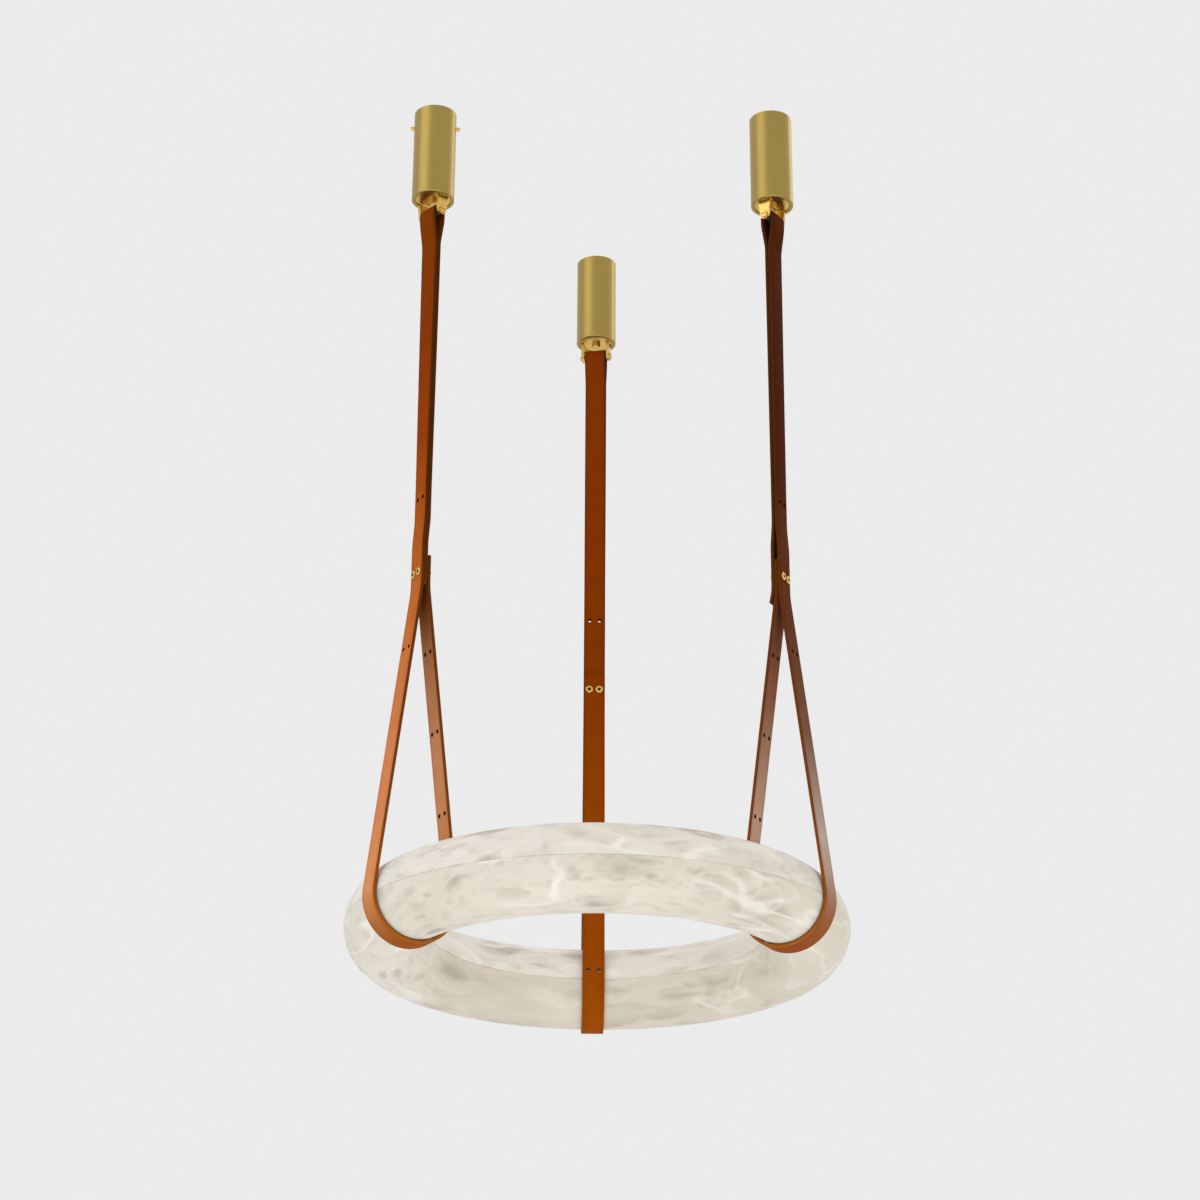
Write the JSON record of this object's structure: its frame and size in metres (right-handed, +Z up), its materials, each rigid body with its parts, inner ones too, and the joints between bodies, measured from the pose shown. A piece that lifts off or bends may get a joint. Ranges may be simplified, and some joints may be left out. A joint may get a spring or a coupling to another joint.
{
  "type": "ring pendant light",
  "caption": "Ring pendant light: a hollow stone ring with a light inside, slung in looped leather straps from brass ceiling canopies.",
  "frame": {"origin": "on the ceiling plane, on the ring's vertical axis, at the centre of the circle through the three ceiling bolts", "axes": "+Z up, +Y towards the rear strap, +X to the right as seen from the front"},
  "size_m": [0.6, 0.6049, 1.1098],
  "materials": {
    "satin_brass": "satin, brushed lengthwise",
    "polished_brass": "polished",
    "saddle_leather": "smooth vegetable-tanned leather with dark cut edges",
    "alabaster": "honed, softly veined",
    "zinc_steel": "zinc plated",
    "carrier_aluminium": "mill finish",
    "led_tape": "flexible tape",
    "driver_case": "plain white plastic",
    "dark_nylon": "dark brown nylon"
  },
  "bodies": {
    "ceiling_fittings": {"canopy_cover_rear": "satin_brass", "hanger_frame_rear": "zinc_steel", "side_screws_rear": "polished_brass", "yoke_rear": "polished_brass", "yoke_bolt_rear": "polished_brass", "yoke_pin_rear": "polished_brass", "pin_clip_rear": "zinc_steel", "strap_roller_rear": "dark_nylon", "canopy_cover_left": "satin_brass", "hanger_frame_left": "zinc_steel", "side_screws_left": "polished_brass", "yoke_left": "polished_brass", "yoke_bolt_left": "polished_brass", "yoke_pin_left": "polished_brass", "pin_clip_left": "zinc_steel", "strap_roller_left": "dark_nylon", "canopy_cover_right": "satin_brass", "hanger_frame_right": "zinc_steel", "side_screws_right": "polished_brass", "yoke_right": "polished_brass", "yoke_bolt_right": "polished_brass", "yoke_pin_right": "polished_brass", "pin_clip_right": "zinc_steel", "strap_roller_right": "dark_nylon", "led_driver": "driver_case", "terminal_block": "driver_case"},
    "strap_rear_body": {"strap_rear": "saddle_leather", "stud_posts_rear": "polished_brass", "stud_screws_rear": "polished_brass"},
    "strap_left_body": {"strap_left": "saddle_leather", "stud_posts_left": "polished_brass", "stud_screws_left": "polished_brass"},
    "strap_right_body": {"strap_right": "saddle_leather", "stud_posts_right": "polished_brass", "stud_screws_right": "polished_brass"},
    "ring_body": {"alabaster_upper_shell": "alabaster", "alabaster_lower_shell": "alabaster", "led_carrier": "carrier_aluminium", "led_strip_upper": "led_tape", "led_strip_lower": "led_tape", "dowel_pins": "polished_brass", "cable_gland": "polished_brass"}
  },
  "joints": [
    {"name": "strap_rear_swing", "type": "hinge", "parent": "ceiling_fittings", "child": "strap_rear_body", "pos_m": [0, 0.25, -0.148], "axis": [1, 0, 0], "range_deg": [-3, 3]},
    {"name": "strap_left_swing", "type": "hinge", "parent": "ceiling_fittings", "child": "strap_left_body", "pos_m": [-0.21651, -0.125, -0.148], "axis": [1, 0, 0], "range_deg": [-3, 3]},
    {"name": "strap_right_swing", "type": "hinge", "parent": "ceiling_fittings", "child": "strap_right_body", "pos_m": [0.21651, -0.125, -0.148], "axis": [1, 0, 0], "range_deg": [-3, 3]},
    {"name": "ring_level", "type": "hinge", "parent": "strap_rear_body", "child": "ring_body", "pos_m": [0, 0.25, -1.055], "axis": [1, 0, 0], "range_deg": [-3, 3]}
  ],
  "couplings": [
    {"joint": "strap_left_swing", "follows": "strap_rear_swing", "ratio": 1},
    {"joint": "strap_right_swing", "follows": "strap_rear_swing", "ratio": 1},
    {"joint": "ring_level", "follows": "strap_rear_swing", "ratio": -1}
  ]
}
